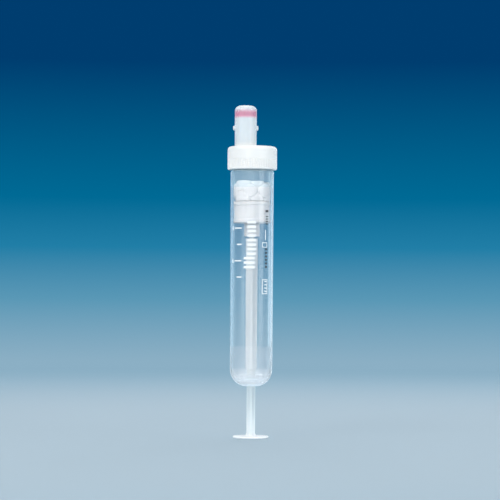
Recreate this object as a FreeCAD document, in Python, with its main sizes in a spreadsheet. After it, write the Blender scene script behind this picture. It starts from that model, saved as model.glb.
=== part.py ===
import FreeCAD, Part
import Sketcher
import math
import os
import random

# Blood collection tube of the syringe kind: a clear tube with a screw cap, and a plunger that draws
# the sample in. Millimetres. +Z runs up the tube. The origin is the centre of the thumb disc's
# underside, on which it stands, and the cap's nozzle stands off the tube's axis towards -X.

doc = FreeCAD.newDocument("blood_collection_tube")

DRIVING_SIZES = [
    # name, size, what it is
    ("tube_bore", 14.0, "tube, inside, the same all the way so that the piston seals"),
    ("tube_wall", 1.0, "tube's wall just under the cap"),
    ("tube_foot_wall", 0.8, "tube's wall at the lower end of its taper"),
    ("tube_length", 79.7, "tube's lower end to the shoulder that its threaded neck stands on"),
    ("tube_floor", 1.0, "thickness of the tube's lower end"),
    ("tube_corner", 6.4, "outside radius round the tube's lower end"),
    ("tube_stick_out", 19.0, "thumb disc's underside to the tube's lower end, with the plunger in"),
    ("collar_proud", 0.1, "how far the bead under the cap stands out of the tube"),
    ("collar_height", 0.6, "height of that bead"),
    ("collar_drop", 0.4, "from the bead up to the tube's shoulder"),
    ("neck_wall", 0.55, "wall of the threaded neck, between the threads"),
    ("neck_length", 7.1, "shoulder to the neck's rim"),
    ("small_round", 0.2, "rounding of small edges that were moulded sharp"),
    ("hub_wall", 1.35, "wall of the hub inside the tube's lower end, which the boss locks into"),
    ("hub_sink", 2.2, "hub's top below the place where the bore begins to round in"),
    ("hub_lead", 0.3, "chamfer that guides the boss into the hub"),
    ("thread_pitch", 3.0, "cap's thread, rise in one turn"),
    ("thread_depth", 0.5, "height of a thread over its wall"),
    ("thread_root", 1.2, "width of a thread at its wall"),
    ("thread_crest", 0.7, "width of a thread at its top"),
    ("thread_edge", 0.15, "from the cap's lower edge to its thread"),
    ("thread_head", 0.45, "from the end of the neck's thread to the neck's rim"),
    ("thread_play", 0.1, "room between the flanks of the neck's and the cap's threads"),
    ("thread_room", 0.2, "room between the top of a thread and the wall that it faces"),
    ("thread_sink", 0.1, "how deep a thread's foot is set into its wall"),
    ("cap_wall", 0.9, "cap's skirt"),
    ("cap_top", 1.0, "thickness of the cap's top"),
    ("cap_gap", 0.5, "tube's shoulder to the cap's lower edge"),
    ("cap_round", 1.3, "rounding of the cap's top edge"),
    ("cap_rim_round", 0.5, "rounding of the cap's lower edge"),
    ("grip_count", 72, "fine grooves round the cap"),
    ("grip_depth", 0.22, "depth of a groove"),
    ("grip_low", 0.7, "cap's lower edge to the grooves"),
    ("grip_length", 3.1, "length of the grooves"),
    ("ring_thickness", 1.0, "sealing ring between the neck's rim and the cap's top"),
    ("ring_overhang", 0.8, "how far the sealing ring reaches in over the bore"),
    ("ring_room", 0.15, "room between the sealing ring and the cap's bore"),
    ("nozzle_bore", 6.4, "needle way below the membrane"),
    ("nozzle_wall", 0.85, "nozzle's wall below the membrane"),
    ("nozzle_height", 15.2, "cap's top to the nozzle's top"),
    ("nozzle_offset", 2.5, "from the tube's axis to the nozzle's axis"),
    ("nozzle_round", 2.0, "rounding of the nozzle's top edge"),
    ("nozzle_foot_round", 0.35, "fillet where the nozzle stands on the cap"),
    ("nozzle_narrowing", 0.05, "how much smaller the nozzle's radius is at its foot than over the lugs"),
    ("lip_thickness", 1.8, "nozzle's top edge, turned in over the membrane"),
    ("lip_land", 0.25, "flat rim of the nozzle's top, between its rounded edge and its hole"),
    ("lug_dia", 1.7, "bayonet lugs on the nozzle"),
    ("lug_reach", 0.65, "how far the lugs stand out of the nozzle"),
    ("lug_height", 6.9, "cap's top to the middle of the lugs"),
    ("lug_round", 0.45, "rounding of the lugs' ends"),
    ("lug_margin", 0.1, "lugs' top to where the nozzle has its full width"),
    ("membrane_seat", 0.4, "width of the ledge that the rubber membrane sits on"),
    ("membrane_thickness", 2.6, "membrane at its edge"),
    ("membrane_dome", 0.6, "how far the membrane rises into the hole of the lip"),
    ("membrane_room", 0.05, "room round the membrane"),
    ("membrane_pit", 1.2, "depth of the hollow under the membrane, where the needle pierces it"),
    ("membrane_pit_dia", 3.6, "width of that hollow"),
    ("head_room", 18.5, "piston's top to the neck's rim, with the plunger in"),
    ("piston_height", 7.8, "piston without its boss"),
    ("piston_play", 0.04, "room between the piston's sealing lips and the bore"),
    ("piston_lip", 1.1, "height of a sealing lip"),
    ("piston_waist", 0.31, "depth of the waist between the lips"),
    ("plunger_stop", 0.2, "piston's underside over the foot of the straight bore, with the plunger out"),
    ("boss_dia", 5.7, "boss under the piston"),
    ("boss_length", 5.0, "boss"),
    ("boss_play", 0.1, "room between the boss and the hub that it locks into"),
    ("stub_dia", 3.0, "rod's end in the boss"),
    ("stub_length", 4.2, "rod's end in the boss"),
    ("stub_play", 0.03, "room round the rod's end, and over it"),
    ("break_dia", 1.9, "thin place where the rod is snapped off"),
    ("break_length", 0.7, "length of that place"),
    ("rod_top_width", 4.4, "cross-shaped rod, just under the break"),
    ("rod_mid_width", 4.1, "rod, over its step"),
    ("rod_low_width", 3.15, "rod, below its step, down to the thumb disc"),
    ("rod_web", 1.0, "thickness of the rod's webs"),
    ("rod_step_gap", 2.0, "hub's top to the rod's step, with the plunger in"),
    ("rod_step_height", 0.6, "height of the slope at the step"),
    ("rod_foot_flare", 0.5, "how far the webs widen where they meet the disc"),
    ("disc_dia", 13.2, "thumb disc"),
    ("disc_thickness", 0.8, "thumb disc"),
    ("disc_round", 0.3, "rounding of the disc's edges"),
    ("bead_dia", 3.2, "clot activator bead"),
    ("bead_count", 24, "beads on the piston"),
    ("bead_room", 0.04, "room round each bead"),
    ("film_thickness", 0.08, "clear label film round the tube"),
    ("film_glue", 0.03, "glue under the film"),
    ("film_low", 15.0, "tube's lower end to the film's lower edge"),
    ("film_high", 5.2, "film's upper edge to the bead under the cap"),
    ("film_seam", 6.0, "gap between the film's two ends at the back, in degrees"),
]

dims = doc.addObject("Spreadsheet::Sheet", "dims")
for row, (name, size, meaning) in enumerate(DRIVING_SIZES, start=1):
    dims.set(f"A{row}", meaning)
    dims.set(f"B{row}", str(size))
    dims.setAlias(f"B{row}", name)
doc.recompute()

# Radii and heights that follow from the driving sizes, as expressions on the sheet.
BORE_R = "(dims.tube_bore / 2)"
TUBE_R = f"({BORE_R} + dims.tube_wall)"
TUBE_FOOT_R = f"({BORE_R} + dims.tube_foot_wall)"
COLLAR_R = f"({TUBE_R} + dims.collar_proud)"
NECK_R = f"({BORE_R} + dims.neck_wall)"
NECK_THREAD_R = f"({NECK_R} + dims.thread_depth)"
CAP_BORE_R = f"({NECK_THREAD_R} + dims.thread_room)"
CAP_THREAD_R = f"({CAP_BORE_R} - dims.thread_depth)"
CAP_R = f"({CAP_BORE_R} + dims.cap_wall)"
BOSS_R = "(dims.boss_dia / 2)"
HUB_BORE_R = f"({BOSS_R} + dims.boss_play)"
HUB_R = f"({HUB_BORE_R} + dims.hub_wall)"
PISTON_R = f"({BORE_R} - dims.piston_play)"
WAIST_R = f"({PISTON_R} - dims.piston_waist)"
STUB_R = "(dims.stub_dia / 2)"
SOCKET_R = f"({STUB_R} + dims.stub_play)"
WAY_R = "(dims.nozzle_bore / 2)"
NOZZLE_R = f"({WAY_R} + dims.nozzle_wall)"
NOZZLE_FOOT_R = f"({NOZZLE_R} - dims.nozzle_narrowing)"
MEMBRANE_R = f"({WAY_R} + dims.membrane_seat)"
POCKET_R = f"({MEMBRANE_R} + dims.membrane_room)"
LIP_HOLE_R = f"({NOZZLE_R} - dims.nozzle_round - dims.lip_land)"
NOZZLE_AXIS = "-dims.nozzle_offset"

INNER_CORNER = "dims.tube_corner - dims.tube_foot_wall"
TUBE_FOOT = "dims.tube_stick_out"
FLOOR_TOP = f"{TUBE_FOOT} + dims.tube_floor"
BORE_FOOT = f"{FLOOR_TOP} + {INNER_CORNER}"
HUB_TOP = f"{BORE_FOOT} - dims.hub_sink"
SHOULDER = f"{TUBE_FOOT} + dims.tube_length"
COLLAR_TOP = f"{SHOULDER} - dims.collar_drop"
COLLAR_FOOT = f"{COLLAR_TOP} - dims.collar_height"
NECK_RIM = f"{SHOULDER} + dims.neck_length"
RING_TOP = f"{NECK_RIM} + dims.ring_thickness"
CAP_TOP = f"{RING_TOP} + dims.cap_top"
CAP_FOOT = f"{SHOULDER} + dims.cap_gap"
CAP_THREAD = f"{CAP_FOOT} + dims.thread_edge + dims.thread_root / 2"
NECK_THREAD = f"{CAP_THREAD} + (dims.thread_root + dims.thread_crest) / 2 + dims.thread_play"
THREAD_RISE = f"{NECK_RIM} - dims.thread_head - dims.thread_root / 2 - ({NECK_THREAD})"
NOZZLE_TOP = f"{CAP_TOP} + dims.nozzle_height"
LIP_FOOT = f"{NOZZLE_TOP} - dims.lip_thickness"
MEMBRANE_TOP = f"{LIP_FOOT} - dims.membrane_room"
MEMBRANE_FOOT = f"{MEMBRANE_TOP} - dims.membrane_thickness"
LUG_MIDDLE = f"{CAP_TOP} + dims.lug_height"
NOZZLE_SEAT = f"{LUG_MIDDLE} + dims.lug_dia / 2 + dims.lug_margin"
PISTON_TOP = f"{NECK_RIM} - dims.head_room"
PISTON_FOOT = f"{PISTON_TOP} - dims.piston_height"
BOSS_FOOT = f"{PISTON_FOOT} - dims.boss_length"
STUB_TOP = f"{BOSS_FOOT} + dims.stub_length"
ROD_TOP = f"{BOSS_FOOT} - dims.break_length"
ROD_STEP = f"{HUB_TOP} + dims.rod_step_gap"
PLUNGER_TRAVEL = f"{PISTON_FOOT} - dims.plunger_stop - ({BORE_FOOT})"
FILM_FOOT = f"{TUBE_FOOT} + dims.film_low"
FILM_TOP = f"{COLLAR_FOOT} - dims.film_high"


def value(expression):
    """The number that an expression on the sheet stands for."""
    found = dims.evalExpression(expression)
    return float(getattr(found, "Value", found))


def tube_outside_at(height):
    """Expression for the tapered tube's outside radius at a height."""
    rise = f"(({height}) - ({TUBE_FOOT})) / (({COLLAR_FOOT}) - ({TUBE_FOOT}))"
    return f"{TUBE_FOOT_R} + ({TUBE_R} - {TUBE_FOOT_R}) * {rise}"


def new_body(label):
    body = doc.addObject("PartDesign::Body", label)
    body.Label = label
    return body


def new_sketch(body, name, role, height=None):
    """A sketch on one of the body's own origin planes, raised along its normal if a height is given."""
    sketch = body.newObject("Sketcher::SketchObject", name)
    plane = next(feature for feature in body.Origin.OriginFeatures if feature.Role == role)
    sketch.AttachmentSupport = [(plane, "")]
    sketch.MapMode = "FlatFace"
    if height is not None:
        sketch.setExpression("AttachmentOffset.Base.z", height)
    return sketch


def bind(sketch, name, constraint, expression):
    """Adds a dimension to a sketch and ties it to the sheet."""
    index = sketch.addConstraint(constraint)
    sketch.renameConstraint(index, name)
    sketch.setExpression(f"Constraints.{name}", expression)


def draw_outline(sketch, corners):
    """A closed outline of straight lines. Each corner is a pair of expressions, across and up."""
    points = [FreeCAD.Vector(value(across), value(up), 0) for across, up in corners]
    for start, end in zip(points, points[1:] + points[:1]):
        sketch.addGeometry(Part.LineSegment(start, end), False)
    for line in range(len(corners)):
        following = (line + 1) % len(corners)
        sketch.addConstraint(Sketcher.Constraint("Coincident", line, 2, following, 1))
    for line, (across, up) in enumerate(corners):
        along = Sketcher.Constraint("DistanceX", -1, 1, line, 1, value(across))
        bind(sketch, f"corner{line}_across", along, across)
        upward = Sketcher.Constraint("DistanceY", -1, 1, line, 1, value(up))
        bind(sketch, f"corner{line}_up", upward, up)


def draw_axis(sketch, across):
    """A vertical construction line to turn a profile about, at a distance from the sketch's axis."""
    place = value(across)
    ends = (FreeCAD.Vector(place, 0, 0), FreeCAD.Vector(place, 1, 0))
    line = sketch.addGeometry(Part.LineSegment(*ends), True)
    for end in (1, 2):
        spot = Sketcher.Constraint("DistanceX", -1, 1, line, end, place)
        bind(sketch, f"axis{end}_across", spot, across)
        level = Sketcher.Constraint("DistanceY", -1, 1, line, end, end - 1)
        sketch.addConstraint(level)


def draw_circle(sketch, across, up, diameter):
    centre = FreeCAD.Vector(value(across), value(up), 0)
    shape = Part.Circle(centre, FreeCAD.Vector(0, 0, 1), value(diameter) / 2)
    circle = sketch.addGeometry(shape, False)
    place = Sketcher.Constraint("DistanceX", -1, 1, circle, 3, value(across))
    bind(sketch, "centre_across", place, across)
    level = Sketcher.Constraint("DistanceY", -1, 1, circle, 3, value(up))
    bind(sketch, "centre_up", level, up)
    width = Sketcher.Constraint("Diameter", circle, value(diameter))
    bind(sketch, "diameter", width, diameter)


def turned(body, kind, name, corners, axis=None):
    """A profile turned about a vertical axis: kind is Revolution to add material, Groove to cut it."""
    sketch = new_sketch(body, f"{name}_profile", "XZ_Plane")
    draw_outline(sketch, corners)
    if axis is not None:
        draw_axis(sketch, axis)
    feature = body.newObject(f"PartDesign::{kind}", name)
    feature.Profile = sketch
    feature.ReferenceAxis = (sketch, ["V_Axis" if axis is None else "Axis0"])
    feature.Angle = 360
    doc.recompute()
    return feature


def padded(body, name, sketch, length, midplane=False):
    pad = body.newObject("PartDesign::Pad", name)
    pad.Profile = sketch
    pad.setExpression("Length", length)
    pad.SideType = "Symmetric" if midplane else "One side"
    doc.recompute()
    return pad


def thread(body, name, corners):
    """A ridge that climbs round the vertical axis, right-handed, from where its profile stands."""
    sketch = new_sketch(body, f"{name}_profile", "XZ_Plane")
    draw_outline(sketch, corners)
    ridge = body.newObject("PartDesign::AdditiveHelix", name)
    ridge.Profile = sketch
    ridge.ReferenceAxis = (sketch, ["V_Axis"])
    ridge.Mode = "pitch-height-angle"
    ridge.setExpression("Pitch", "dims.thread_pitch")
    ridge.setExpression("Height", THREAD_RISE)
    ridge.Angle = 0
    doc.recompute()
    return ridge


def thread_corners(wall, top, middle):
    """The trapezium of a thread: expressions for its wall's radius, its top's radius and its height."""
    return [
        (wall, f"{middle} - dims.thread_root / 2"),
        (top, f"{middle} - dims.thread_crest / 2"),
        (top, f"{middle} + dims.thread_crest / 2"),
        (wall, f"{middle} + dims.thread_root / 2"),
    ]


def round_edges(body, name, radius, spots, kind="Fillet"):
    """Rounds or chamfers the circular edges of the body's last feature, given by radius and height."""
    base = body.Tip
    wanted = [(value(across), value(up)) for across, up in spots]
    names = []
    for number, edge in enumerate(base.Shape.Edges, start=1):
        if not isinstance(edge.Curve, Part.Circle):
            continue
        for across, up in wanted:
            same_radius = math.isclose(edge.Curve.Radius, across, abs_tol=1e-4)
            if same_radius and math.isclose(edge.Curve.Center.z, up, abs_tol=1e-4):
                names.append(f"Edge{number}")
    if len(names) < len(wanted):
        raise ValueError(f"{name}: {len(names)} edges found for {len(wanted)} places")
    feature = body.newObject(f"PartDesign::{kind}", name)
    feature.Base = (base, names)
    feature.setExpression("Radius" if kind == "Fillet" else "Size", radius)
    doc.recompute()
    return feature


def make_tube():
    """Clear moulded tube, open at the top, with a hub round the hole that the rod comes out of."""
    body = new_body("tube")
    turned(
        body,
        "Revolution",
        "tube_wall",
        [
            ("0", TUBE_FOOT),
            (TUBE_FOOT_R, TUBE_FOOT),
            (TUBE_R, COLLAR_FOOT),
            (COLLAR_R, COLLAR_FOOT),
            (COLLAR_R, COLLAR_TOP),
            (TUBE_R, COLLAR_TOP),
            (TUBE_R, SHOULDER),
            (NECK_R, SHOULDER),
            (NECK_R, NECK_RIM),
            (BORE_R, NECK_RIM),
            (BORE_R, FLOOR_TOP),
            ("0", FLOOR_TOP),
        ],
    )
    round_edges(body, "tube_corner", "dims.tube_corner", [(TUBE_FOOT_R, TUBE_FOOT)])
    round_edges(body, "tube_inner_corner", INNER_CORNER, [(BORE_R, FLOOR_TOP)])
    edges = [(TUBE_R, SHOULDER), (NECK_R, NECK_RIM), (BORE_R, NECK_RIM)]
    round_edges(body, "neck_round", "dims.small_round", edges)
    hub = [("0", FLOOR_TOP), (HUB_R, FLOOR_TOP), (HUB_R, HUB_TOP), ("0", HUB_TOP)]
    turned(body, "Revolution", "hub", hub)
    hole = [("0", TUBE_FOOT), (HUB_BORE_R, TUBE_FOOT), (HUB_BORE_R, HUB_TOP), ("0", HUB_TOP)]
    turned(body, "Groove", "rod_hole", hole)
    round_edges(body, "hub_lead", "dims.hub_lead", [(HUB_BORE_R, HUB_TOP)], "Chamfer")
    wall = f"{NECK_R} - dims.thread_sink"
    thread(body, "neck_thread", thread_corners(wall, NECK_THREAD_R, NECK_THREAD))
    return body


def make_label_film():
    """Clear film that carries the graduation, round the tube with its ends a little apart behind."""
    body = new_body("label_film")
    foot_r = f"{tube_outside_at(FILM_FOOT)} + dims.film_glue"
    top_r = f"{tube_outside_at(FILM_TOP)} + dims.film_glue"
    strip = [
        (foot_r, FILM_FOOT),
        (f"{foot_r} + dims.film_thickness", FILM_FOOT),
        (f"{top_r} + dims.film_thickness", FILM_TOP),
        (top_r, FILM_TOP),
    ]
    wrap = turned(body, "Revolution", "film_wrap", strip)
    wrap.setExpression("Angle", "360 - dims.film_seam")
    body.setExpression("Placement.Rotation.Angle", "90 + dims.film_seam / 2")
    doc.recompute()
    return body


def make_screw_cap():
    """White cap moulded as one with the nozzle, its two bayonet lugs and the lip over the membrane."""
    body = new_body("screw_cap")
    turned(
        body,
        "Revolution",
        "cap_shell",
        [
            ("0", RING_TOP),
            (CAP_BORE_R, RING_TOP),
            (CAP_BORE_R, CAP_FOOT),
            (CAP_R, CAP_FOOT),
            (CAP_R, CAP_TOP),
            ("0", CAP_TOP),
        ],
    )
    round_edges(body, "cap_round", "dims.cap_round", [(CAP_R, CAP_TOP)])
    round_edges(body, "cap_rim_round", "dims.cap_rim_round", [(CAP_R, CAP_FOOT)])

    def out(distance):
        """A distance from the nozzle's own axis, as one from the tube's."""
        return f"{NOZZLE_AXIS} + {distance}"

    wall = [
        (NOZZLE_AXIS, CAP_TOP),
        (out(NOZZLE_FOOT_R), CAP_TOP),
        (out(NOZZLE_R), NOZZLE_SEAT),
        (out(NOZZLE_R), NOZZLE_TOP),
        (NOZZLE_AXIS, NOZZLE_TOP),
    ]
    turned(body, "Revolution", "nozzle", wall, NOZZLE_AXIS)
    round_edges(body, "nozzle_round", "dims.nozzle_round", [(NOZZLE_R, NOZZLE_TOP)])
    round_edges(body, "nozzle_foot_round", "dims.nozzle_foot_round", [(NOZZLE_FOOT_R, CAP_TOP)])

    lugs = new_sketch(body, "lug_section", "YZ_Plane", NOZZLE_AXIS)
    draw_circle(lugs, "0", LUG_MIDDLE, "dims.lug_dia")
    padded(body, "lugs", lugs, f"2 * ({NOZZLE_R} + dims.lug_reach)", midplane=True)
    round_edges(body, "lug_round", "dims.lug_round", [("dims.lug_dia / 2", LUG_MIDDLE)])

    way = [
        (NOZZLE_AXIS, RING_TOP),
        (out(WAY_R), RING_TOP),
        (out(WAY_R), MEMBRANE_FOOT),
        (out(POCKET_R), MEMBRANE_FOOT),
        (out(POCKET_R), LIP_FOOT),
        (out(LIP_HOLE_R), LIP_FOOT),
        (out(LIP_HOLE_R), NOZZLE_TOP),
        (NOZZLE_AXIS, NOZZLE_TOP),
    ]
    turned(body, "Groove", "needle_way", way, NOZZLE_AXIS)
    round_edges(body, "lip_round", "dims.small_round", [(LIP_HOLE_R, NOZZLE_TOP)])

    wall = f"{CAP_BORE_R} + dims.thread_sink"
    thread(body, "cap_thread", thread_corners(wall, CAP_THREAD_R, CAP_THREAD))

    notch = new_sketch(body, "grip_notch", "XY_Plane", f"{CAP_FOOT} + dims.grip_low + dims.grip_length")
    deep = (f"{CAP_R} - dims.grip_depth", "0")
    outside, half_width = f"{CAP_R} + dims.grip_depth", "dims.grip_depth * 2"
    draw_outline(notch, [deep, (outside, f"-{half_width}"), (outside, half_width)])
    groove = body.newObject("PartDesign::Pocket", "grip_groove")
    groove.Profile = notch
    groove.setExpression("Length", "dims.grip_length")
    doc.recompute()
    grips = body.newObject("PartDesign::PolarPattern", "grips")
    grips.Originals = [groove]
    grips.Axis = (notch, ["N_Axis"])
    grips.Angle = 360
    grips.setExpression("Occurrences", "dims.grip_count")
    body.Tip = grips
    doc.recompute()
    return body


def make_sealing_ring():
    """Rubber ring that the cap presses on the neck's rim, which makes the screwed cap airtight."""
    body = new_body("sealing_ring")
    inside, outside = f"{BORE_R} - dims.ring_overhang", f"{CAP_BORE_R} - dims.ring_room"
    corners = [(inside, NECK_RIM), (outside, NECK_RIM), (outside, RING_TOP), (inside, RING_TOP)]
    turned(body, "Revolution", "ring", corners)
    round_edges(body, "ring_round", "dims.small_round", corners)
    return body


def make_membrane():
    """Pink rubber membrane under the nozzle's lip, thin in the middle, which the needle pierces."""
    body = new_body("membrane")
    dome_r = f"({LIP_HOLE_R} - dims.membrane_room)"
    pit_r = "dims.membrane_pit_dia / 2"
    dome_top = f"{MEMBRANE_TOP} + dims.membrane_dome"
    pit_top = f"{MEMBRANE_FOOT} + dims.membrane_pit"
    outline = [
        (NOZZLE_AXIS, pit_top),
        (f"{NOZZLE_AXIS} + {pit_r}", pit_top),
        (f"{NOZZLE_AXIS} + {pit_r}", MEMBRANE_FOOT),
        (f"{NOZZLE_AXIS} + {MEMBRANE_R}", MEMBRANE_FOOT),
        (f"{NOZZLE_AXIS} + {MEMBRANE_R}", MEMBRANE_TOP),
        (f"{NOZZLE_AXIS} + {dome_r}", MEMBRANE_TOP),
        (f"{NOZZLE_AXIS} + {dome_r}", dome_top),
        (NOZZLE_AXIS, dome_top),
    ]
    turned(body, "Revolution", "membrane_disc", outline, NOZZLE_AXIS)
    round_edges(body, "dome_round", "dims.small_round", [(dome_r, dome_top)])
    return body


def make_piston():
    """Piston with a sealing lip at each end, and the boss under it that locks into the tube's hub."""
    body = new_body("piston")
    low_lip, high_lip = f"{PISTON_FOOT} + dims.piston_lip", f"{PISTON_TOP} - dims.piston_lip"
    socket_top = f"{STUB_TOP} + dims.stub_play"
    turned(
        body,
        "Revolution",
        "piston_body",
        [
            (SOCKET_R, BOSS_FOOT),
            (BOSS_R, BOSS_FOOT),
            (BOSS_R, PISTON_FOOT),
            (PISTON_R, PISTON_FOOT),
            (PISTON_R, low_lip),
            (WAIST_R, f"{low_lip} + dims.piston_waist"),
            (WAIST_R, f"{high_lip} - dims.piston_waist"),
            (PISTON_R, high_lip),
            (PISTON_R, PISTON_TOP),
            ("0", PISTON_TOP),
            ("0", socket_top),
            (SOCKET_R, socket_top),
        ],
    )
    edges = [(PISTON_R, PISTON_TOP), (PISTON_R, PISTON_FOOT), (BOSS_R, BOSS_FOOT)]
    round_edges(body, "piston_round", "dims.small_round", edges)
    return body


def make_plunger_rod():
    """Cross-shaped rod with its thumb disc, and above its thin break the end fixed in the boss."""
    body = new_body("plunger_rod")
    disc, disc_top = "dims.disc_dia / 2", "dims.disc_thickness"
    turned(body, "Revolution", "thumb_disc", [("0", "0"), (disc, "0"), (disc, disc_top), ("0", disc_top)])
    round_edges(body, "disc_round", "dims.disc_round", [(disc, "0"), (disc, disc_top)])

    top, middle, low = "dims.rod_top_width / 2", "dims.rod_mid_width / 2", "dims.rod_low_width / 2"
    right_side = [
        (f"{low} + dims.rod_foot_flare", disc_top),
        (low, f"{disc_top} + 2 * dims.rod_foot_flare"),
        (low, f"{ROD_STEP} - dims.rod_step_height"),
        (middle, ROD_STEP),
        (top, ROD_TOP),
    ]
    left_side = [(f"-({across})", up) for across, up in reversed(right_side)]
    for name, role in (("wide_web", "XZ_Plane"), ("deep_web", "YZ_Plane")):
        outline = new_sketch(body, f"{name}_outline", role)
        draw_outline(outline, right_side + left_side)
        padded(body, name, outline, "dims.rod_web", midplane=True)

    thin = "dims.break_dia / 2"
    stub = [
        ("0", ROD_TOP),
        (thin, ROD_TOP),
        (thin, BOSS_FOOT),
        (STUB_R, BOSS_FOOT),
        (STUB_R, STUB_TOP),
        ("0", STUB_TOP),
    ]
    turned(body, "Revolution", "stub", stub)
    return body


SEED = 29
TRIES_PER_BEAD = 400


def bead_centres():
    """Drops the beads one by one. Each takes the lowest of many tries at a place on the others."""
    drops = random.Random(SEED)
    spacing = value("dims.bead_dia + dims.bead_room")
    reach = value("(dims.tube_bore - dims.bead_dia) / 2 - dims.bead_room")
    lowest = value(f"{PISTON_TOP} + dims.bead_dia / 2 + dims.bead_room")
    centres = []
    for _bead in range(round(value("dims.bead_count"))):
        best = None
        for _drop in range(TRIES_PER_BEAD):
            angle = drops.uniform(0, 2 * math.pi)
            radius = reach * math.sqrt(drops.random())
            across, along = radius * math.cos(angle), radius * math.sin(angle)
            height = lowest
            for other in centres:
                apart = math.hypot(across - other.x, along - other.y)
                if apart < spacing:
                    height = max(height, other.z + math.sqrt(spacing**2 - apart**2))
            if best is None or height < best.z:
                best = FreeCAD.Vector(across, along, height)
        centres.append(best)
    return centres


def make_beads():
    """Clot activator beads, a loose heap on the piston."""
    heap = doc.addObject("Part::Feature", "clot_beads")
    heap.Label = "clot_beads"
    radius = value("dims.bead_dia / 2")
    heap.Shape = Part.makeCompound([Part.makeSphere(radius, centre) for centre in bead_centres()])
    heap.Placement = FreeCAD.Placement()
    doc.recompute()
    return heap


def faults(part):
    """Names of the part's features that failed, and of the part itself if its shape is missing or broken."""
    members = [part] + list(getattr(part, "Group", []))
    failed = [item.Name for item in members if {"Invalid", "Error"} & set(item.State)]
    if part.Shape.isNull() or not part.Shape.isValid() or not part.Shape.Solids:
        failed.append(f"shape of {part.Name}")
    return failed


MAKERS = [
    make_tube,
    make_label_film,
    make_screw_cap,
    make_sealing_ring,
    make_membrane,
    make_piston,
    make_plunger_rod,
    make_beads,
]

parts = [make() for make in MAKERS]
doc.recompute()
broken = [fault for part in parts for fault in faults(part)]
if broken:
    raise ValueError(f"these did not build: {', '.join(broken)}")

print(f"the plunger travels {value(PLUNGER_TRAVEL):.2f} mm")

os.makedirs("parts", exist_ok=True)
for part in parts:
    part.Shape.exportStep(f"parts/{part.Label}.step")
    print(f"{part.Label}: {len(part.Shape.Solids)} solids, {part.Shape.Volume:.1f} cubic mm")
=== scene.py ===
# %% [markdown]
# # A blood collection tube
#
# This lesson dresses the finished construction model of a blood collection tube: a clear tube with a
# plunger, a white screw cap with a needle nozzle, and a heap of white beads that help the blood to clot.
# The model comes in as a frame that is never moved or reshaped. What Blender adds is what the eye needs:
# plastics, rubber, ink and light.

# %% Load the frame
import math

import bmesh
import bpy
from mathutils import Matrix, Vector, noise


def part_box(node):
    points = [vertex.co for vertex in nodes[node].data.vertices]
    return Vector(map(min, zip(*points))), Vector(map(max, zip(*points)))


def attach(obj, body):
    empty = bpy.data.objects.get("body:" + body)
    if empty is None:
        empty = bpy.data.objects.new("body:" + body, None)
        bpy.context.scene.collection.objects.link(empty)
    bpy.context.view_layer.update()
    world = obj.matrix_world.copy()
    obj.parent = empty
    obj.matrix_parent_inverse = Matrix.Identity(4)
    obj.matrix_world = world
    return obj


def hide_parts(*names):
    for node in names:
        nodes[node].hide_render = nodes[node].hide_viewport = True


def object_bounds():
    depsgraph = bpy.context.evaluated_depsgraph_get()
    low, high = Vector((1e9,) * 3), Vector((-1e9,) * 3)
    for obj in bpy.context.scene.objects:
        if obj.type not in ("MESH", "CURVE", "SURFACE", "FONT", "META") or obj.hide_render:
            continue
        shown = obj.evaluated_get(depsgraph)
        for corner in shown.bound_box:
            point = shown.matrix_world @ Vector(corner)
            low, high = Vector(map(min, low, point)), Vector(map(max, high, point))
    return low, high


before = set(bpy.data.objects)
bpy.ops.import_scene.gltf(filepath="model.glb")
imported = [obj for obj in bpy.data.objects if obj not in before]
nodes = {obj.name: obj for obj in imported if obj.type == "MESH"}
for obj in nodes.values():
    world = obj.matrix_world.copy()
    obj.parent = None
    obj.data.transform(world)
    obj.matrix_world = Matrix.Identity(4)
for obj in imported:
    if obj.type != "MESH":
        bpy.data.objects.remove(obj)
cad_low, cad_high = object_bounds()
MM = 0.001
height = cad_high.z - cad_low.z
print(f"{len(nodes)} pieces, {height / MM:.1f} mm tall")

# %% [markdown]
# ## Writing shaders as sums
#
# A shader can be drawn by hand in the node editor, or written out node by node, which hides a short sum
# in twenty lines. Here one small class stands for a socket. Arithmetic on it adds the Math nodes, and
# every other kind of node comes from its one method, so that a finish reads like the recipe that it is.


# %% One class for sockets
class Wire:
    """A socket in a shader. Sums with it add Math nodes, and node() adds any other kind."""

    def __init__(self, tree, socket=None):
        self.tree = tree
        self.socket = socket

    def node(self, kind, settings=None, sockets=None, output=0):
        """Adds a node. Settings are set first, then the values or links of its sockets."""
        made = self.tree.nodes.new(kind)
        for name, setting in (settings or {}).items():
            if name == "stops":
                ramp = made.color_ramp.elements
                while len(ramp) < len(setting):
                    ramp.new(1.0)
                for stop, (place, colour) in zip(ramp, setting):
                    stop.position, stop.color = place, colour
            else:
                setattr(made, name, setting)
        for name, given in (sockets or {}).items():
            if isinstance(given, Wire):
                self.tree.links.new(given.socket, made.inputs[name])
            else:
                made.inputs[name].default_value = given
        return Wire(self.tree, None if output is None else made.outputs[output])

    def sum_with(self, operation, first, second):
        return self.node("ShaderNodeMath", {"operation": operation}, {0: first, 1: second})

    def __add__(self, other):
        return self.sum_with("ADD", self, other)

    def __rsub__(self, other):
        return self.sum_with("SUBTRACT", other, self)

    def __mul__(self, other):
        return self.sum_with("MULTIPLY", self, other)

    __radd__ = __add__
    __rmul__ = __mul__

    def between(self, low, high):
        """0 below low, 1 above high, and a smooth step from one to the other."""
        settings = {"interpolation_type": "SMOOTHSTEP"}
        return self.node("ShaderNodeMapRange", settings, {"Value": self, 1: low, 2: high})

    def band(self, start, full, fading, gone):
        """A smooth step up from start to full, and a smooth step down from fading to gone."""
        return self.between(start, full) * (1 - self.between(fading, gone))


print("a socket can be added, subtracted from a number, multiplied, and cut by between() and band()")

# %% [markdown]
# ## A finish is a recipe
#
# Every finish on this object is a Principled shader whose plain numbers sit on its own sockets. A finish
# is started with an empty tree, filled, closed with an output, and then worn by its piece in every slot.


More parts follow.
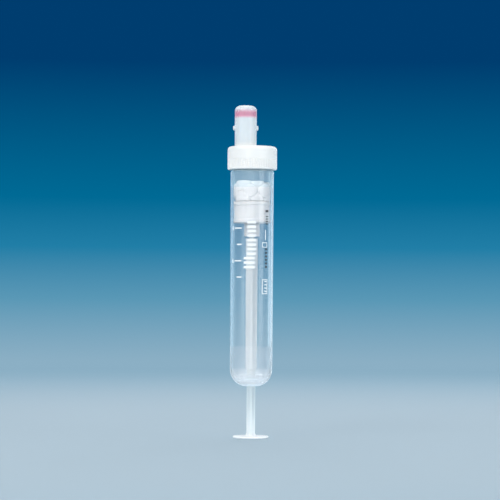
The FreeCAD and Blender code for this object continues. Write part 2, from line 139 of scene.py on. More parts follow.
# %% Start, close and wear a finish
def finish(name):
    """A material with an empty node tree, and the handle that its nodes are added through."""
    made = bpy.data.materials.new(name)
    made.use_nodes = True
    made.node_tree.nodes.clear()
    return made, Wire(made.node_tree)


def surface(shader, **sockets):
    """The Principled shader. Underscores in a name stand for the spaces in its socket's name."""
    named = {name.replace("_", " "): given for name, given in sockets.items()}
    return shader.node("ShaderNodeBsdfPrincipled", None, named)


def close_finish(shader, last):
    shader.node("ShaderNodeOutputMaterial", None, {"Surface": last}, output=None)


def dress(piece, material):
    """Gives a piece one material in all its slots."""
    if not piece.data.materials:
        piece.data.materials.append(material)
    for slot in piece.material_slots:
        slot.material = material
    print(f"{piece.name} wears {material.name}")


print("finishes can be started, closed and worn")

# %% [markdown]
# What varies over a surface is a noise. It could be laid out on an unwrapped map, which needs a seam
# somewhere. Here it lies in the piece's own space, so it has no seam, and stays put when the piece moves.


# %% Patterns in a piece's own space
def place_in_object(shader):
    """Where a point of the surface lies in the piece's own space, in metres."""
    return shader.node("ShaderNodeTexCoord", output="Object")


def height_of(shader, place):
    return shader.node("ShaderNodeSeparateXYZ", None, {"Vector": place}, output="Z")


def mottle(shader, place, features_per_metre, detail=3.0, stretch=(1, 1, 1)):
    """A cloudy number round 0.5. A stretch under 1 makes it change less along that axis."""
    scaled = shader.node("ShaderNodeMapping", None, {"Vector": place, "Scale": stretch})
    sockets = {"Vector": scaled, "Scale": features_per_metre, "Detail": detail}
    return shader.node("ShaderNodeTexNoise", None, sockets)


def bumps(shader, rise, depth, strength):
    """A normal that follows a number as if it were a relief of that depth, in metres."""
    sockets = {"Height": rise, "Distance": depth, "Strength": strength}
    return shader.node("ShaderNodeBump", None, sockets)


print("patterns: mottle() for colour and dullness, bumps() for relief")

# %% [markdown]
# ## The clear tube
#
# The barrel is moulded from clear plastic. It isn't window glass: a little light is scattered at every
# surface, so what stands behind it looks slightly milky. How milky differs from place to place. Where the
# label is glued on, the glue fills the wall's fine texture, so the wall is clearest there. So the first
# thing to know is where the label lies.

# %% Where the label lies on the tube
film_low, film_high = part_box("label_film")
tube_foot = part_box("tube")[0].z
print(f"film {film_low.z / MM:.1f} to {film_high.z / MM:.1f} mm, tube from {tube_foot / MM:.1f} mm")

# %% [markdown]
# Glass bends light, so no lamp would reach straight through it, and all that stands inside would be dark.
# Tracing the bent light takes far too long. So the plastic is glass to the eye, and a clear tinted sheet
# to a lamp's rays.


# %% Let lamps through
def blend_finishes(shader, share, first, second):
    return shader.node("ShaderNodeMixShader", None, {0: share, 1: first, 2: second})


def let_lamps_through(shader, glass, tint, how_far=1.0):
    """Glass that only tints a lamp's own rays. A how_far under 1 leaves part of their shadow."""
    from_lamp = shader.node("ShaderNodeLightPath", output="Is Shadow Ray") * how_far
    open_way = shader.node("ShaderNodeBsdfTransparent", None, {"Color": tint})
    return blend_finishes(shader, from_lamp, glass, open_way)


print("lamps reach what stands behind clear plastic")

# %% [markdown]
# A Transmission just under 1 makes glass slightly milky, because what isn't passed on is scattered as
# white. But it is one number for the whole tube. So the rest of the haze is a share of plain Diffuse,
# which can differ from place to place. The wall is hazier below the label than under it, more so above
# it, and haziest in the rounded end, where the plastic is thick. Above the label the haze is painted
# bluish: a painted look of the blue backdrop through the wall. At its outline the wall is seen edge on,
# through much more plastic, and turns into a pale line: Layer Weight finds that place. Faint flow marks
# run up the wall, as the plastic ran along the mould.

# %% Clear moulded plastic
PLASTIC_IOR = 1.49
GLUE_OUTSIDE, GLUE_INSIDE = 0.0003, 0.0001  # the wall clears from outside the film's edge to inside it
ROUNDED_FROM, ROUNDED_TO = 0.0010, 0.0065  # over the tube's foot, where the haze of the rounded end fades
PLATE_FROM, PLATE_TO = 0.0005, 0.0012  # over the tube's foot, where the haze of the end's underside fades
PLATE_SHADE = 0.6  # how much of a lamp's light that underside keeps back
EDGE_FROM, EDGE_TO = 0.65, 1.0  # Facing is 0 where the wall is seen square on, and 1 at its outline
HAZE = {
    "under the film": 0.008,
    "below the film": 0.06,
    "above the film": 0.137,
    "rounded end": 0.23,
    "end plate": 0.5,
    "edge": 0.28,
    "edge below the film": 0.32,
}


def tube_haze(shader, below_film, above_film, rounded_end, end_plate):
    """How much of the light the wall scatters, from 0 to 1."""
    share = (
        HAZE["under the film"]
        + HAZE["below the film"] * below_film
        + HAZE["above the film"] * above_film
        + HAZE["rounded end"] * rounded_end
        + HAZE["end plate"] * end_plate
    )
    edge_on = shader.node("ShaderNodeLayerWeight", None, {"Blend": 0.5}, output="Facing")
    edge = edge_on.between(EDGE_FROM, EDGE_TO)
    return share + edge * (HAZE["edge"] + HAZE["edge below the film"] * below_film)


def make_clear_plastic():
    made, shader = finish("clear_moulded_plastic")
    place = place_in_object(shader)
    up = height_of(shader, place)
    below_film = 1 - up.between(film_low.z - GLUE_OUTSIDE, film_low.z + GLUE_INSIDE)
    above_film = up.between(film_high.z - GLUE_INSIDE, film_high.z + GLUE_OUTSIDE)
    rounded_end = 1 - up.between(tube_foot + ROUNDED_FROM, tube_foot + ROUNDED_TO)
    end_plate = 1 - up.between(tube_foot + PLATE_FROM, tube_foot + PLATE_TO)
    clouds = mottle(shader, place, 350.0)
    flow = mottle(shader, place, 900.0, detail=2.0, stretch=(1, 1, 0.001))
    glass = surface(
        shader,
        Base_Color=(0.985, 0.993, 1.0, 1),
        Transmission_Weight=0.985,
        IOR=PLASTIC_IOR,
        Roughness=0.08 + 0.05 * clouds + 0.08 * below_film,
        Normal=bumps(shader, flow, 0.00001, 0.1),
    )
    white_haze = shader.node("ShaderNodeBsdfDiffuse", None, {"Color": (0.9, 0.95, 1.0, 1)})
    # Painted: above the label the haze is bluish, a painted look of the blue backdrop through the wall.
    painted_backdrop_haze = shader.node("ShaderNodeBsdfDiffuse", None, {"Color": (0.68, 0.90, 1.0, 1)})
    haze = blend_finishes(shader, above_film, white_haze, painted_backdrop_haze)
    share = tube_haze(shader, below_film, above_film, rounded_end, end_plate)
    cloudy = blend_finishes(shader, share, glass, haze)
    lit = let_lamps_through(shader, cloudy, (0.985, 0.99, 0.99, 1), 1 - PLATE_SHADE * end_plate)
    close_finish(shader, lit)
    return made


dress(nodes["tube"], make_clear_plastic())

# %% [markdown]
# ## The label film
#
# The graduation is printed on a clear film that is glued round the tube. It could be glass as well, but
# the film is far thinner than the wall and doesn't bend what is seen through it, so a low Alpha suits it
# better and is quicker.


# %% Clear film
def make_clear_film():
    made, shader = finish("clear_label_film")
    clouds = mottle(shader, place_in_object(shader), 600.0)
    last = surface(
        shader,
        Base_Color=(0.92, 0.96, 0.99, 1),
        Roughness=0.12 + 0.12 * clouds,
        Alpha=0.02 + 0.02 * clouds,
        IOR=1.45,
    )
    close_finish(shader, last)
    return made


dress(nodes["label_film"], make_clear_film())

# %% [markdown]
# ## The white cap and its nozzle
#
# Cap and nozzle are one moulding. The skirt looks solid white, because it stands in front of the tube's
# threaded neck. The nozzle's single thin wall lets light through, so that the pink membrane inside shows.
# Two materials would leave a hard seam between them, so one material holds both looks, and the height on
# the piece decides between them.


# %% Where the nozzle begins
def top_outside(piece, radius):
    """The highest point of a piece's surface that is at least that far from the tube's middle line."""
    return max(point.co.z for point in piece.data.vertices if math.hypot(*point.co.xy) > radius)


nozzle_foot = top_outside(nodes["screw_cap"], 0.008)
pink_foot, pink_top = (corner.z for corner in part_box("membrane"))
print(f"nozzle from {nozzle_foot / MM:.1f} mm, membrane {pink_foot / MM:.1f} to {pink_top / MM:.1f} mm")

# %% [markdown]
# The nozzle's wall could be glass all through, but the real one is milky, and shows the membrane only as
# a soft pink band. So most of it is solid plastic, and a smaller share of it is clear, through which the
# membrane really shows. At the membrane's height the solid share is painted pink as well: a painted glow
# of the membrane seen through the wall. A little Sheen lightens the sides, where the surface turns away.

# %% White cap plastic
PAINTED_PINK_STRENGTH = 0.95  # how strongly the membrane's pink, seen through the wall, is painted on the nozzle
NOZZLE_CLEAR, MEMBRANE_CLEAR = 0.20, 0.15  # how clear the nozzle is, and how much clearer by the membrane


def blend_colours(shader, share, first, second):
    sockets = {0: share, 6: first, 7: second}
    return shader.node("ShaderNodeMix", {"data_type": "RGBA"}, sockets, output=2)


def make_cap_plastic():
    made, shader = finish("white_cap_plastic")
    place = place_in_object(shader)
    up = height_of(shader, place)
    on_nozzle = up.between(nozzle_foot - 0.0004, nozzle_foot + 0.0022)
    thin_wall = up.band(pink_foot + 0.0002, pink_foot + 0.0010, pink_top - 0.0016, pink_top - 0.0007)
    # Painted glow: the membrane's pink, seen through the milky wall, is painted on the nozzle in this
    # band.
    painted_pink_band = up.band(pink_foot - 0.0006, pink_foot + 0.0007, pink_top - 0.0017, pink_top + 0.0004)
    clouds = mottle(shader, place, 500.0)
    grain = mottle(shader, place, 9000.0, detail=4.0)
    skirt_white = blend_colours(shader, clouds, (0.83, 0.81, 0.785, 1), (0.865, 0.84, 0.815, 1))
    nozzle_white = blend_colours(shader, clouds, (0.775, 0.83, 0.855, 1), (0.815, 0.86, 0.885, 1))
    nozzle_white = blend_colours(shader, PAINTED_PINK_STRENGTH * painted_pink_band, nozzle_white, (0.84, 0.33, 0.46, 1))
    solid = surface(
        shader,
        Base_Color=blend_colours(shader, on_nozzle, skirt_white, nozzle_white),
        Roughness=0.3 + 0.15 * clouds,
        Subsurface_Weight=0.3,
        Subsurface_Radius=(0.0012, 0.0011, 0.001),
        Subsurface_Scale=1.0,
        Sheen_Weight=0.5,
        Sheen_Roughness=0.3,
        Sheen_Tint=(0.87, 0.96, 1.0, 1),
        Normal=bumps(shader, grain, 0.00001, 0.15),
    )
    thin = surface(
        shader,
        Base_Color=(0.98, 0.985, 1.0, 1),
        Transmission_Weight=0.96,
        IOR=1.5,
        Roughness=0.12 + 0.06 * clouds,
    )
    thin = let_lamps_through(shader, thin, (0.9, 0.91, 0.92, 1))
    share = NOZZLE_CLEAR * on_nozzle + MEMBRANE_CLEAR * thin_wall
    close_finish(shader, blend_finishes(shader, share, solid, thin))
    return made


dress(nodes["screw_cap"], make_cap_plastic())

# %% [markdown]
# ## Rubber
#
# The needle's membrane is soft pink rubber, and the ring that seals the cap is grey rubber. Rubber is
# dull, with a fine bloom on it. Both are the same recipe in two colours, so one function makes them.


# %% Rubbers
def make_rubber(name, light, dark):
    made, shader = finish(name)
    bloom = mottle(shader, place_in_object(shader), 1200.0, detail=5.0)
    last = surface(
        shader,
        Base_Color=blend_colours(shader, bloom, light, dark),
        Roughness=0.55 + 0.25 * bloom,
        Subsurface_Weight=0.15,
        Subsurface_Radius=(0.0008, 0.0004, 0.0004),
        Subsurface_Scale=1.0,
        Normal=bumps(shader, bloom, 0.00003, 0.4),
    )
    close_finish(shader, last)
    return made


dress(nodes["membrane"], make_rubber("pink_rubber", (0.90, 0.17, 0.32, 1), (0.78, 0.12, 0.26, 1)))
dress(nodes["sealing_ring"], make_rubber("grey_rubber", (0.30, 0.31, 0.32, 1), (0.24, 0.25, 0.26, 1)))

# %% [markdown]
# ## Piston and rod
#
# Both are plastic without pigment: milky in the thick piston, and almost clear in the thin webs of the
# rod. Glass would look too clean for either. Light that enters a milky plastic wanders a few millimetres
# and comes out again, which is what Subsurface does, so both get much of it and only a little
# Transmission.


# %% Milky plastics
def milky(shader, place, colour, passed, dullness):
    """The plastic that piston and rod share. Passed is how much light goes straight through."""
    clouds = mottle(shader, place, 450.0)
    flow = mottle(shader, place, 1500.0, stretch=(1, 1, 0.08))
    return surface(
        shader,
        Base_Color=colour,
        Transmission_Weight=passed,
        IOR=PLASTIC_IOR,
        Roughness=dullness + 0.15 * clouds,
        Subsurface_Weight=0.8,
        Subsurface_Radius=(0.0022, 0.0024, 0.0026),
        Subsurface_Scale=1.0,
        Normal=bumps(shader, flow, 0.00003, 0.3),
    )


def make_piston_plastic():
    made, shader = finish("milky_plastic")
    place = place_in_object(shader)
    faint = mottle(shader, place, 250.0)
    colour = blend_colours(shader, faint, (0.955, 0.975, 0.985, 1), (0.975, 0.985, 0.99, 1))
    close_finish(shader, milky(shader, place, colour, passed=0.03, dullness=0.3))
    return made


dress(nodes["piston"], make_piston_plastic())

# %% [markdown]
# The rod's thin webs let light through. Where they come out of the tube they are painted grey: a painted
# shade of the tube's end, darkest just under it and a little inside it, fading out towards the disc and
# up in the tube. Its thumb disc is thicker and lies flat, so it looks nearly white. The rod is one
# moulding, so again the height decides between two looks.

# %% Rod plastic
disc_top = top_outside(nodes["plunger_rod"], 0.005)
# Painted shade: the webs are painted darkest grey here, where the tube's end shades them.
tube_shade_peak = tube_foot + 0.002
print(f"thumb disc up to {disc_top / MM:.1f} mm, greyest at {tube_shade_peak / MM:.1f} mm")


def make_rod_plastic():
    made, shader = finish("rod_plastic")
    place = place_in_object(shader)
    faint = mottle(shader, place, 250.0)
    up = height_of(shader, place)
    web_colour = blend_colours(shader, faint, (0.77, 0.825, 0.84, 1), (0.81, 0.85, 0.86, 1))
    # Painted shade of the tube's end, mixed into the webs' colour as a grey band.
    painted_tube_shade = up.band(disc_top + 0.002, tube_shade_peak - 0.005, tube_shade_peak, tube_shade_peak + 0.005)
    web_colour = blend_colours(shader, painted_tube_shade, web_colour, (0.60, 0.66, 0.68, 1))
    disc = surface(
        shader,
        Base_Color=blend_colours(shader, faint, (0.95, 0.965, 0.97, 1), (0.97, 0.98, 0.985, 1)),
        IOR=PLASTIC_IOR,
        Roughness=0.3 + 0.1 * faint,
        Subsurface_Weight=0.3,
        Subsurface_Radius=(0.001, 0.001, 0.001),
        Subsurface_Scale=1.0,
    )
    webs = milky(shader, place, web_colour, passed=0.04, dullness=0.25)
    on_web = up.between(disc_top - 0.0002, disc_top + 0.0008)
    close_finish(shader, blend_finishes(shader, on_web, disc, webs))
    return made


dress(nodes["plunger_rod"], make_rod_plastic())

# %% [markdown]
# ## Clot activator beads
#
# The beads are small moulded grains with a chalky coat, poured on the piston. The frame holds a plain
# ball for each of them. The balls could be kept and only coloured, but they would look like peas. So each
# ball becomes a grain of its own, slightly dented and never quite round. First the balls have to be found
# again in the one mesh that holds them all.


# %% Find the balls in the frame
def separate_skins(work):
    """The points of each separate skin in a mesh, one list for each."""
    seen, skins = set(), []
    for start in work.verts:
        if start in seen:
            continue
        seen.add(start)
        skin, search = [], [start]
        while search:
            point = search.pop()
            skin.append(point)
            for edge in point.link_edges:
                other = edge.other_vert(point)
                if other not in seen:
                    seen.add(other)
                    search.append(other)
        skins.append(skin)
    return skins


def ball_centres(mesh):
    """Middle and radius of each separate ball in a mesh."""
    work = bmesh.new()
    work.from_mesh(mesh)
    bmesh.ops.remove_doubles(work, verts=work.verts, dist=1e-6)
    found = []
    for skin in separate_skins(work):
        places = [point.co.copy() for point in skin]
        low, high = Vector(map(min, *places)), Vector(map(max, *places))
        found.append(((low + high) / 2, (high.z - low.z) / 2))
    work.free()
    return sorted(found, key=lambda ball: tuple(ball[0]))


balls = ball_centres(nodes["clot_beads"].data)
print(f"{len(balls)} balls, {2 * balls[0][1] / MM:.2f} mm across")

# %% [markdown]
# Grains in a heap rest against each other, so each one grows from its middle until it meets a neighbour,
# the wall or the piston. A hard limit would leave flat cuts with sharp edges. A soft minimum of all the
# limits rounds them. The heap's top isn't level either, so each grain ends at a height of its own.

# %% Where a grain must stop
ROOM = 0.00002  # left free to the wall and the piston
PRESS = 0.00005  # how far a grain goes past the plane halfway to a neighbour
SOFT = 0.00018  # how widely the limits are rounded into each other
SIDE_ON = 0.1  # the slope, from 0 to 1, under which a limit is only grazed
TOP_DIP = 0.0005  # how far under the heap's top a grain ends on average
TOP_SWAY, TOP_WAVES = 0.0007, 900  # how much that differs between grains, and how often to a metre
bore = min(math.hypot(*point.co.xy) for point in nodes["tube"].data.vertices if point.co.z > film_low.z)
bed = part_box("piston")[1].z
heap_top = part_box("clot_beads")[1].z
print(f"heap from {bed / MM:.1f} to {heap_top / MM:.1f} mm, in a bore {2 * bore / MM:.2f} mm across")


def skyline(centre):
    """How far under the heap's highest point this grain ends."""
    return TOP_DIP + TOP_SWAY * noise.noise(Vector((TOP_WAVES * centre.x, TOP_WAVES * centre.y, 0.0)))


def limits(centre, direction, neighbours):
    """How far a grain may reach from its middle in one direction. What it only grazes doesn't count."""
    for other in neighbours:
        gap = other - centre
        facing = direction.dot(gap.normalized())
        if facing > SIDE_ON:
            yield (gap.length / 2 + PRESS) / facing
    sideways = direction.xy.length_squared
    if sideways > SIDE_ON**2:
        along = centre.xy.dot(direction.xy)
        free = (bore - 2 * ROOM) ** 2 - centre.xy.length_squared
        yield (math.sqrt(along * along + sideways * free) - along) / sideways
    if abs(direction.z) > SIDE_ON:
        end = heap_top - skyline(centre) if direction.z > 0 else bed + ROOM
        yield (end - centre.z) / direction.z


def soft_minimum(lengths):
    shortest = min(lengths)
    return shortest - SOFT * math.log(sum(math.exp((shortest - length) / SOFT) for length in lengths))


# %% [markdown]
# White grains light each other, so no gap between them looks dark. Grains that are kept apart leave deep
# slits that no lamp reaches. So a Remesh joins all their skins into one, and a Smooth opens the valleys
# between them, which lets the light in. Where three grains meet, the Remesh can shut a tiny pocket inside
# the heap. Nobody sees it, and it is dropped, so that the mesh is one clean skin.

# %% Grow the grains and join their skins
SWELL = 2.0  # a grain's greatest reach, in radii of its ball
REACH = 3  # how near another ball has to be to count as a neighbour, in radii
FLAT_TOP, DENT = 0.2, 0.10  # what a grain loses of that reach on top and in its dents, in radii
PIT = 0.00022  # depth of its small pits
DENT_WAVES, PIT_WAVES = 1.1, 4.0  # how often dents and pits come, to one radius
SKIN = 0.00016  # size of the Remesh's cells
SMOOTHING, SMOOTH_STEPS = 0.5, 4


def add_grain(work, number, centre, radius):
    """One grain round the middle of its ball, dented in its own way."""
    neighbours = [other for other, _ in balls if 0 < (other - centre).length < REACH * radius]
    shift = Vector((7.3 * number, 1.7 * number, 3.1 * number))
    for point in bmesh.ops.create_icosphere(work, subdivisions=4, radius=1.0)["verts"]:
        direction = point.co.normalized()
        dent = 0.5 + 0.5 * noise.noise(DENT_WAVES * direction + shift)
        pit = 0.5 + 0.5 * noise.noise(PIT_WAVES * direction + shift)
        own = radius * (SWELL - FLAT_TOP * max(0.0, direction.z) ** 2 - DENT * dent)
        reach = soft_minimum([own, *limits(centre, direction, neighbours)]) - PIT * pit
        point.co = centre + direction * reach


def drop_pockets(mesh):
    """Keeps the largest skin of a mesh and drops the others."""
    work = bmesh.new()
    work.from_mesh(mesh)
    pockets = sorted(separate_skins(work), key=len)[:-1]
    for pocket in pockets:
        bmesh.ops.delete(work, geom=pocket, context="VERTS")
    print(f"{len(pockets)} pockets dropped")
    work.to_mesh(mesh)
    work.free()


def make_beads():
    work = bmesh.new()
    for number, (centre, radius) in enumerate(balls):
        add_grain(work, number, centre, radius)
    mesh = bpy.data.meshes.new("activator_beads")
    work.to_mesh(mesh)
    work.free()
    made = bpy.data.objects.new("activator_beads", mesh)
    bpy.context.scene.collection.objects.link(made)
    joined = made.modifiers.new("joined_skin", "REMESH")
    joined.voxel_size = SKIN
    opened = made.modifiers.new("open_valleys", "SMOOTH")
    opened.factor, opened.iterations = SMOOTHING, SMOOTH_STEPS
    smoothed = made.evaluated_get(bpy.context.evaluated_depsgraph_get())
    made.data = bpy.data.meshes.new_from_object(smoothed)
    made.modifiers.clear()
    drop_pockets(made.data)
    made.data.shade_smooth()
    return made


beads = make_beads()
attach(beads, "plunger")
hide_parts("clot_beads")
print("beads:", len(beads.data.polygons), "faces")

# %% [markdown]
# The coat on the beads is a dry white powder. A plain white would look like paint, so three noises share
# the work: wide clouds in its colour, crumbs, and a fine grain on the crumbs.


# %% Chalky coat
def make_chalky_coat():
    made, shader = finish("chalky_coat")
    place = place_in_object(shader)
    clouds = mottle(shader, place, 900.0, detail=4.0)
    crumbs = mottle(shader, place, 1500.0, detail=2.0)
    grain = mottle(shader, place, 6000.0, detail=4.0)
    last = surface(
        shader,
        Base_Color=blend_colours(shader, clouds, (0.96, 0.965, 0.96, 1), (0.985, 0.985, 0.98, 1)),
        Roughness=0.55 + 0.2 * clouds,
        Subsurface_Weight=0.8,
        Subsurface_Radius=(0.0012, 0.0012, 0.0012),
        Subsurface_Scale=1.0,
        Normal=bumps(shader, crumbs + 0.2 * grain, 0.00012, 0.5),
    )
    close_finish(shader, last)
    return made


dress(beads, make_chalky_coat())

# %% [markdown]
# ## Printing on a round wall
#
# The marks are ink on the film's outside. A picture wrapped round the tube would blur, so each mark is a
# real layer of ink. It is drawn flat first, as if the film were unrolled, then cut into narrow strips and
# bent round the tube, which tapers a little. First the film's radius at each height is measured.


# %% The film's radius
def widest(piece, up):
    """Radius of a piece's outside near a height."""
    near = [point.co for point in piece.data.vertices if abs(point.co.z - up) < 0.0001]
    return max(math.hypot(*place.xy) for place in near)


film_foot_r = widest(nodes["label_film"], film_low.z)
film_top_r = widest(nodes["label_film"], film_high.z)
print(f"film radius {film_foot_r / MM:.3f} to {film_top_r / MM:.3f} mm")


def film_radius(up):
    """Outside radius of the film at a height."""
    share = (up - film_low.z) / (film_high.z - film_low.z)
    return film_foot_r + share * (film_top_r - film_foot_r)


# %% [markdown]
# All the marks are boxes, drawn frames, columns of equal bars, or plain digits. A digit comes from the
# font that Blender has built in, turned into flat faces. Sizes are in metres, along the wall from its
# front, and up.


# %% Flat outlines
def box_outline(left, right, low, high):
    return [(left, low), (right, low), (right, high), (left, high)]


def frame_outlines(left, right, low, high, line):
    """The four sides of a drawn box."""
    return [
        box_outline(left, right, low, low + line),
        box_outline(left, right, high - line, high),
        box_outline(left, left + line, low + line, high - line),
        box_outline(right - line, right, low + line, high - line),
    ]


def ladder(left, right, foot, step, rung, steps):
    """Equal bars, one above the other."""
    return [box_outline(left, right, foot + step * k, foot + step * k + rung) for k in steps]


def digit_faces(text, size, left, low):
    """A plain number as flat faces."""
    curve = bpy.data.curves.new("digit", "FONT")
    curve.body = text
    curve.size = size
    stand_in = bpy.data.objects.new("digit", curve)
    bpy.context.scene.collection.objects.link(stand_in)
    bpy.context.view_layer.update()
    mesh = bpy.data.meshes.new_from_object(stand_in)
    places = [(left + point.co.x, low + point.co.y) for point in mesh.vertices]
    faces = [[places[index] for index in face.vertices] for face in mesh.polygons]
    bpy.data.objects.remove(stand_in)
    bpy.data.curves.remove(curve)
    bpy.data.meshes.remove(mesh)
    return faces


print("a drawn frame has", len(frame_outlines(0, 1, 0, 1, 0.1)), "sides")

# %% [markdown]
# Bending is a matter of reading the way along the wall as an angle. A flat face bends only where it has
# points, so each outline is first cut into strips. The layer of ink is far thinner than paper, but it has
# two sides and edges, like the real one, so it is a closed mesh.

# %% Bend the ink round the tube
STRIP = 0.00015  # width of a flat strip
INK_INSIDE, INK_OUTSIDE = 0.000002, 0.000012  # how far the layer's two sides stand off the film


def flat_ink(outlines):
    """The outlines as flat faces, cut into strips."""
    work = bmesh.new()
    for outline in outlines:
        work.faces.new([work.verts.new((along, 0, up)) for along, up in outline])
    bmesh.ops.remove_doubles(work, verts=work.verts, dist=1e-7)
    low = min(point.co.x for point in work.verts)
    high = max(point.co.x for point in work.verts)
    for cut in range(1, math.ceil((high - low) / STRIP)):
        everything = work.verts[:] + work.edges[:] + work.faces[:]
        place = (low + cut * STRIP, 0, 0)
        bmesh.ops.bisect_plane(work, geom=everything, plane_co=place, plane_no=(1, 0, 0))
    bmesh.ops.recalc_face_normals(work, faces=work.faces[:])
    return work


def printed(name, outlines, material):
    """Ink in the shape of flat outlines, on the outside of the film."""
    work = flat_ink(outlines)
    lifted = bmesh.ops.extrude_face_region(work, geom=work.faces[:])["geom"]
    outer = {item for item in lifted if isinstance(item, bmesh.types.BMVert)}
    for point in work.verts:
        along, up = point.co.x, point.co.z
        radius = film_radius(up)
        angle = along / radius
        stand = radius + (INK_OUTSIDE if point in outer else INK_INSIDE)
        point.co = (stand * math.sin(angle), -stand * math.cos(angle), up)
    bmesh.ops.recalc_face_normals(work, faces=work.faces[:])
    mesh = bpy.data.meshes.new(name)
    work.to_mesh(mesh)
    work.free()
    made = bpy.data.objects.new(name, mesh)
    bpy.context.scene.collection.objects.link(made)
    dress(made, material)
    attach(made, "barrel")
    print(f"{name}: {len(mesh.polygons)} faces")


# %% [markdown]
# Ink is never quite even: the film shows through a little where it is thin. Two inks are used, white and
# a dark grey.


# %% Inks
def make_ink(name, colour):
    made, shader = finish(name)
    clouds = mottle(shader, place_in_object(shader), 3000.0, detail=4.0)
    thin = tuple(0.88 * part for part in colour[:3]) + (1,)
    last = surface(
        shader,
        Base_Color=blend_colours(shader, clouds, thin, colour),
        Roughness=0.4 + 0.2 * clouds,
    )
    close_finish(shader, last)
    return made


white_ink = make_ink("white_ink", (0.93, 0.94, 0.94, 1))
dark_ink = make_ink("dark_ink", (0.06, 0.07, 0.08, 1))
print("inks:", white_ink.name, dark_ink.name)

# %% [markdown]
# The graduation has a line for each millilitre, longer at the even ones, which carry their number.

# %% Graduation
TOP_LINE, MILLILITRE = 0.0774, 0.0060  # height of the topmost line, and the way down to the next
LINE, LINE_RIGHT = 0.0005, -0.00395  # thickness of a line, and where they all end on the right
DIGIT, DIGIT_ASIDE, DIGIT_DOWN = 0.0024, 0.0016, 0.0008  # a digit's size, and its place by its line
line_lefts = [(-0.0071, "8"), (-0.0060, ""), (-0.0073, "6"), (-0.0061, "")]
lines = []
for count, (left, number) in enumerate(line_lefts):
    up = TOP_LINE - MILLILITRE * count
    lines.append(box_outline(left, LINE_RIGHT, up - LINE / 2, up + LINE / 2))
    if number:
        lines += digit_faces(number, DIGIT, left - DIGIT_ASIDE, up - DIGIT_DOWN)
printed("graduation", lines, white_ink)

# %% [markdown]
# Down the front, a real tube carries words. This one carries plain blocks of the same size instead: three
# that reach further to the left, and eight above them. Beside them stand two small drawn frames, a line,
# and rows of dots.

# %% Plain blocks and small marks
BLOCKS = {"foot": 0.0626, "step": 0.00165, "rung": 0.0009}
blocks = ladder(left=-0.0030, right=0.0012, steps=range(3), **BLOCKS)
blocks += ladder(left=-0.0017, right=0.0016, steps=range(3, 11), **BLOCKS)
printed("front_bars", blocks, white_ink)

side_marks = [box_outline(left=0.0052, right=0.0056, low=0.0730, high=0.0768)]
side_marks += frame_outlines(left=0.0040, right=0.0062, low=0.0703, high=0.0722, line=0.00025)
side_marks += frame_outlines(left=0.0040, right=0.0064, low=0.0532, high=0.0586, line=0.00028)
side_marks += ladder(left=0.0050, right=0.0060, foot=0.0540, step=0.0012, rung=0.0004, steps=range(4))
printed("side_marks_white", side_marks, white_ink)

dark_marks = [box_outline(left=0.0054, right=0.0068, low=0.0833, high=0.0841)]
dark_marks += ladder(left=0.0056, right=0.0066, foot=0.0788, step=0.0009, rung=0.0004, steps=range(4))
dark_marks += ladder(left=0.0053, right=0.0062, foot=0.0628, step=0.0013, rung=0.0007, steps=range(6))
printed("side_marks_dark", dark_marks, dark_ink)

# %% [markdown]
# ## The stage
#
# The tube stands on a pale sweep of paper that rises all round into a wall. A flat floor with one wall
# behind it would show its edge from some sides. A sweep spun round the tube shows none from any side.

# %% Pale sweep
FLOOR, BEND, WALL = 1.0, 0.35, 1.3  # radius of the flat floor, radius of the bend, height of the wall
BEND_STEPS, ROUND_STEPS = 24, 96


def make_sweep():
    outline = [(0.0, 0.0), (FLOOR, 0.0)]
    for step in range(1, BEND_STEPS + 1):
        turn = math.radians(90 * step / BEND_STEPS)
        outline.append((FLOOR + BEND * math.sin(turn), BEND * (1 - math.cos(turn))))
    outline.append((FLOOR + BEND, WALL))
    work = bmesh.new()
    points = [work.verts.new((across, 0, up)) for across, up in outline]
    edges = [work.edges.new(pair) for pair in zip(points, points[1:])]
    full_turn = {"cent": (0, 0, 0), "axis": (0, 0, 1), "angle": 2 * math.pi, "steps": ROUND_STEPS}
    bmesh.ops.spin(work, geom=points + edges, use_merge=True, **full_turn)
    bmesh.ops.remove_doubles(work, verts=work.verts, dist=1e-6)
    bmesh.ops.recalc_face_normals(work, faces=work.faces[:])
    mesh = bpy.data.meshes.new("sweep")
    work.to_mesh(mesh)
    work.free()
    mesh.shade_smooth()
    made = bpy.data.objects.new("sweep", mesh)
    bpy.context.scene.collection.objects.link(made)
    return made


sweep = make_sweep()
print(f"sweep: {2 * (FLOOR + BEND):.1f} m across, {WALL:.1f} m high")

# %% [markdown]
# Behind the tube, the wall fades from a pale blue-grey at the floor to a deep blue at its top. Coloured
# lamps could do that, but they would colour the tube too. So the wall glows in those blues only where it
# is looked at, straight, in a reflection or through clear plastic. The light that it throws back on the
# tube is that of plain pale paper.

# %% Paper
DEEP_BLUE_AT = 0.285  # the height at which the last of the blues is reached
FLOOR_ENDS, WALL_STARTS = 0.15, 0.8  # how far off the floor's look begins to fade, and is gone
WALL_BLUES = [
    (0.0, (0.26, 0.43, 0.555, 1)),
    (0.18, (0.102, 0.314, 0.468, 1)),
    (0.35, (0.015, 0.21, 0.386, 1)),
    (0.52, (0.0, 0.144, 0.30, 1)),
    (1.0, (0.0, 0.047, 0.16, 1)),
]


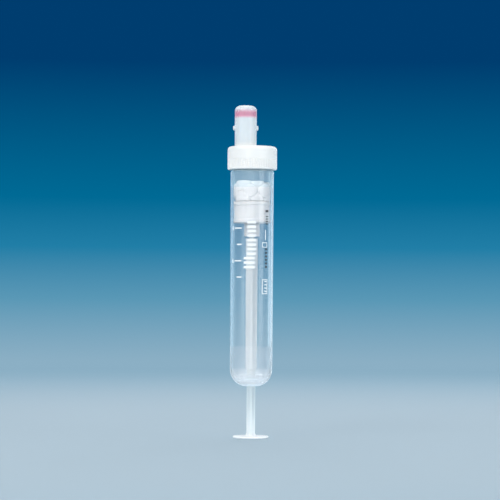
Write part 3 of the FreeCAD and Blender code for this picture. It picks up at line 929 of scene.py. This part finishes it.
def make_paper():
    made, shader = finish("pale_paper")
    place = place_in_object(shader)
    looks = ("Is Camera Ray", "Is Glossy Ray", "Is Transmission Ray")
    seen = sum(shader.node("ShaderNodeLightPath", output=look) for look in looks).between(0.0, 0.5)
    flat_place = shader.node("ShaderNodeVectorMath", {"operation": "MULTIPLY"}, {0: place, 1: (1, 1, 0)})
    away = shader.node("ShaderNodeVectorMath", {"operation": "LENGTH"}, {0: flat_place}, output="Value")
    far = away.between(FLOOR_ENDS, WALL_STARTS)
    fibres = mottle(shader, place, 40.0)
    near_paper = surface(
        shader,
        Base_Color=blend_colours(shader, seen, (0.60, 0.69, 0.75, 1), (0.365, 0.455, 0.52, 1)),
        Roughness=0.85 + 0.1 * fibres,
        Specular_IOR_Level=0.1,
    )
    high = height_of(shader, place) * (1 / DEEP_BLUE_AT)
    wall_colour = shader.node("ShaderNodeValToRGB", {"stops": WALL_BLUES}, {"Fac": high})
    glow = shader.node("ShaderNodeEmission", None, {"Color": wall_colour, "Strength": 1.0})
    close_finish(shader, blend_finishes(shader, seen * far, near_paper, glow))
    return made


dress(sweep, make_paper())

# %% [markdown]
# ## Light
#
# Big soft lamps light the tube from the left, the right, the front and above. Clear plastic has no colour
# of its own, so two tall lamps stand behind it, one on each side, and draw the bright lines that make a
# clear wall readable. Two more lamps only brighten the white pieces. They would show as glaring squares
# in the wall, so neither reflections nor looks through plastic see them.


# %% Lamps
def lamp(name, place, size, power, colour=(1, 1, 1), shows_in_plastic=True):
    """A soft lamp that faces the tube's middle."""
    data = bpy.data.lights.new(name, "AREA")
    data.shape = "RECTANGLE"
    data.size, data.size_y = size
    data.energy = power
    data.color = colour
    made = bpy.data.objects.new(name, data)
    made.location = place
    aim = Vector((0, 0, height / 2)) - Vector(place)
    made.rotation_euler = aim.to_track_quat("-Z", "Y").to_euler()
    made.visible_camera = False
    made.visible_transmission = shows_in_plastic
    made.visible_glossy = shows_in_plastic
    bpy.context.scene.collection.objects.link(made)
    print(f"lamp {name}: {power} W from {aim.length:.2f} m")


lamp("key", (-0.60, -0.75, 0.65), (0.62, 0.8), 6.3, (1.0, 0.955, 0.92))
lamp("fill", (0.75, -0.55, 0.35), (0.5, 0.7), 2.2, (1.0, 0.98, 0.96))
lamp("front", (-0.15, -1.0, 0.32), (0.7, 0.5), 0.9)
lamp("left_edge", (-0.47, 0.80, 0.12), (0.42, 0.9), 0.64, (0.60, 0.84, 1.0))
lamp("right_edge", (0.44, 0.82, 0.12), (0.5, 0.9), 1.15, (0.82, 0.94, 1.0))
lamp("top", (0.0, 0.25, 0.9), (0.6, 0.6), 2.2)
lamp("back", (0.1, 1.0, 0.5), (0.9, 0.6), 3.2, shows_in_plastic=False)
lamp("right", (0.90, -0.25, 0.3), (0.7, 0.7), 1.1, shows_in_plastic=False)

# %% [markdown]
# A real studio has light from everywhere, thrown back by its walls and ceiling. A plain white world
# stands for it.

# %% World
SKY_STRENGTH = 0.6
world = bpy.data.worlds.new("soft_sky")
bpy.context.scene.world = world
world.use_nodes = True
sky = world.node_tree.nodes["Background"].inputs
sky["Color"].default_value = (1.0, 1.0, 1.0, 1)
sky["Strength"].default_value = SKY_STRENGTH
bpy.context.scene.view_settings.view_transform = "Standard"
print("world strength", SKY_STRENGTH)

# %% [markdown]
# ## Camera
#
# A near camera would make the cap look too big for the tube. This one stands far off with a long lens. It
# looks up very slightly from a little under the middle of the tube, which leans by a third of a degree.

# %% Camera
DISTANCE, FIELD = 0.815, 0.1852  # how far off the camera stands, and how wide a view it has there
SENSOR = 36  # millimetres, like the lens
ASIDE, EYE_HEIGHT, AIM_HEIGHT = -0.00065, 0.051, 0.0695
LEAN = 0.34  # degrees
data = bpy.data.cameras.new("camera")
data.sensor_width = SENSOR
data.lens = SENSOR * DISTANCE / FIELD
data.clip_start = 0.05
camera = bpy.data.objects.new("camera", data)
eye = Vector((ASIDE, -DISTANCE, EYE_HEIGHT))
look = (Vector((ASIDE, 0, AIM_HEIGHT)) - eye).to_track_quat("-Z", "Y")
lean = Matrix.Rotation(math.radians(LEAN), 4, "Z")
camera.matrix_world = Matrix.Translation(eye) @ look.to_matrix().to_4x4() @ lean
bpy.context.scene.collection.objects.link(camera)
bpy.context.scene.camera = camera
print(f"lens {data.lens:.0f} mm, {DISTANCE} m away")
